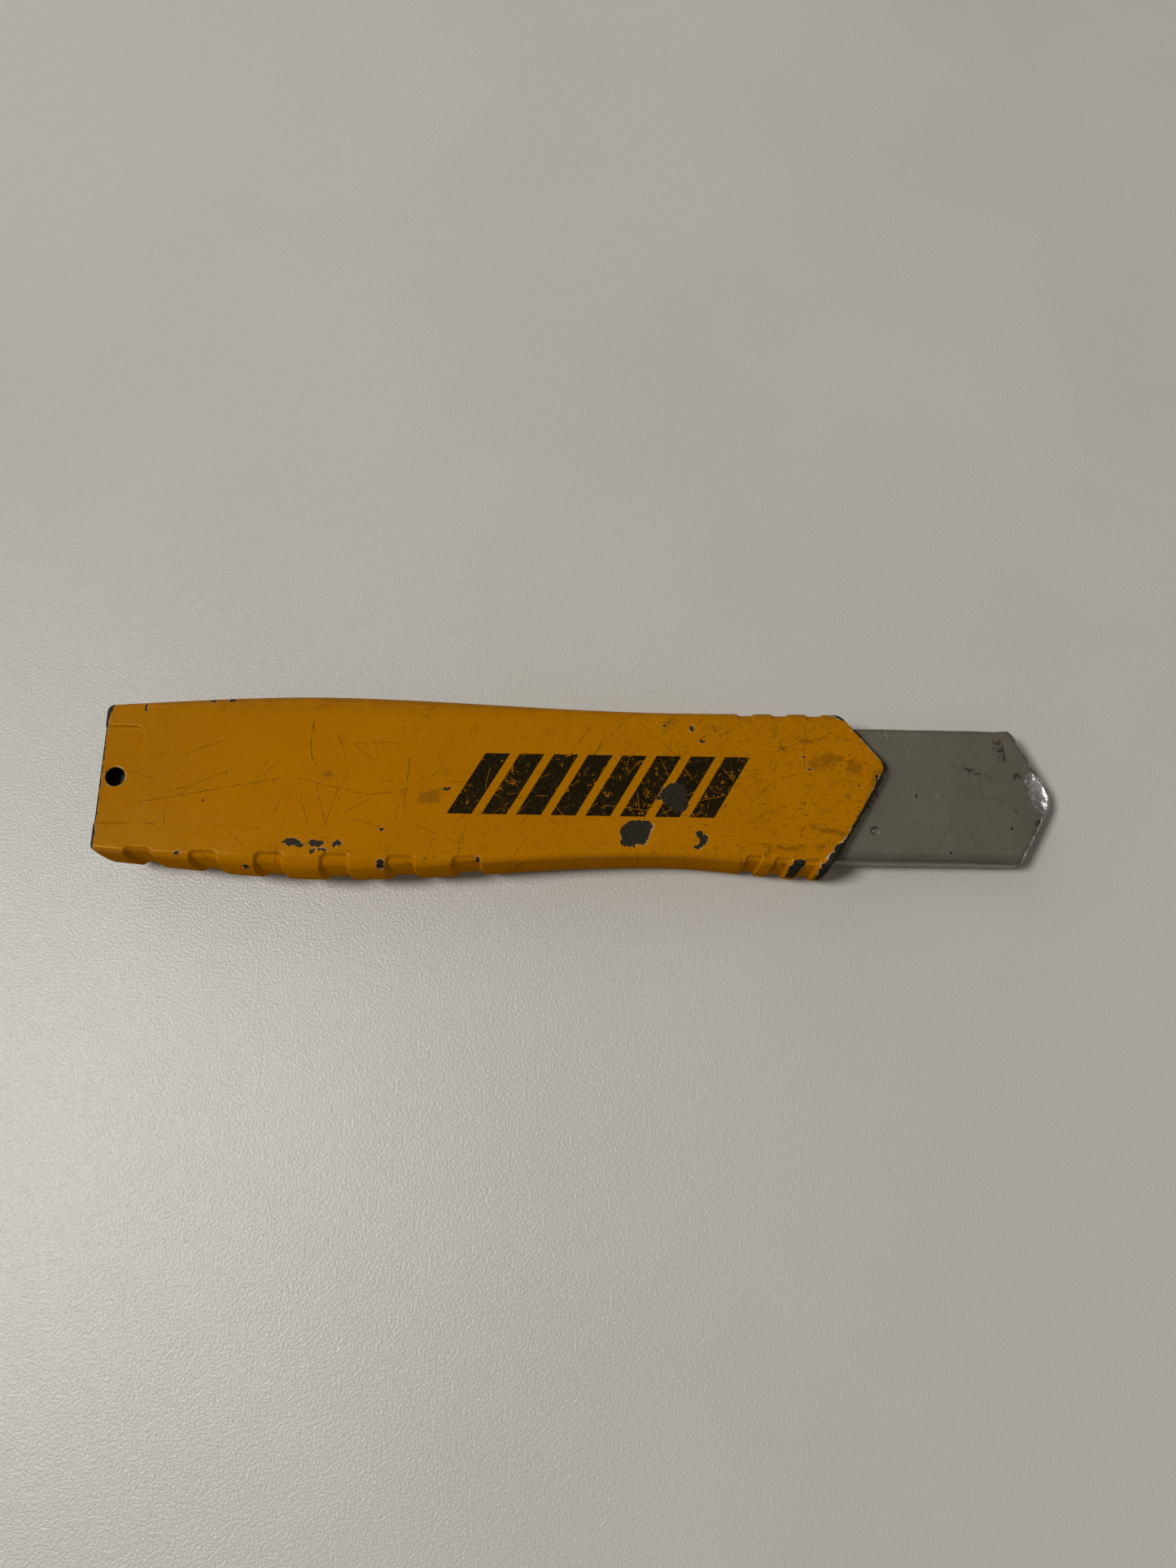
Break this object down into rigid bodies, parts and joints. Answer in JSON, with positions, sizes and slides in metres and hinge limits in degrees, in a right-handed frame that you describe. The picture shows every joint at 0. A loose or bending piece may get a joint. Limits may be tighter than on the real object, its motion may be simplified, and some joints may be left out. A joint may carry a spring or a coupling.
{
  "type": "snap-off knife",
  "caption": "Slim metal-bodied snap-off utility knife with a steel blade sleeve, a sliding locking blade carriage and a pull-out end plug.",
  "frame": {"origin": "centre of the end plug's outer face, at the butt, on the blade channel's centre line", "axes": "+X from the butt to the nose, +Z out of the plain flat back of the handle, -Z out of the slider side, -Y towards the cutting edge"},
  "size_m": [0.1436, 0.0279, 0.0139],
  "materials": {
    "yellow_paint": "worn semi-gloss paint on die-cast metal",
    "grey_steel": "dull grey coated sheet",
    "bright_steel": "plain bright steel",
    "spring_steel": "tempered strip",
    "black_plastic": "moulded, fine texture"
  },
  "bodies": {
    "handle": {"handle_body": "yellow_paint", "wear_sleeve": "grey_steel", "sleeve_pin_spine": "bright_steel", "sleeve_pin_finger": "bright_steel"},
    "carriage": {"blade": "bright_steel", "blade_carrier": "spring_steel", "blade_peg": "bright_steel", "slider_base": "black_plastic", "slider_rivet_rear": "bright_steel", "slider_rivet_front": "bright_steel", "spring_rivet": "bright_steel"},
    "lock": {"lock_spring": "spring_steel", "thumb_button": "black_plastic"},
    "plug": {"end_cap": "black_plastic"}
  },
  "joints": [
    {"name": "slider_travel", "type": "slide", "parent": "handle", "child": "carriage", "axis": [1, 0, 0], "range_m": [0, 0.066]},
    {"name": "lock_press", "type": "hinge", "parent": "carriage", "child": "lock", "pos_m": [0.0205, 0, -0.00265], "axis": [0, -1, 0], "range_deg": [0, 5], "stiffness_Nm_per_rad": 0.5},
    {"name": "end_cap_pull", "type": "slide", "parent": "handle", "child": "plug", "axis": [-1, 0, 0], "range_m": [0, 0.02]}
  ]
}
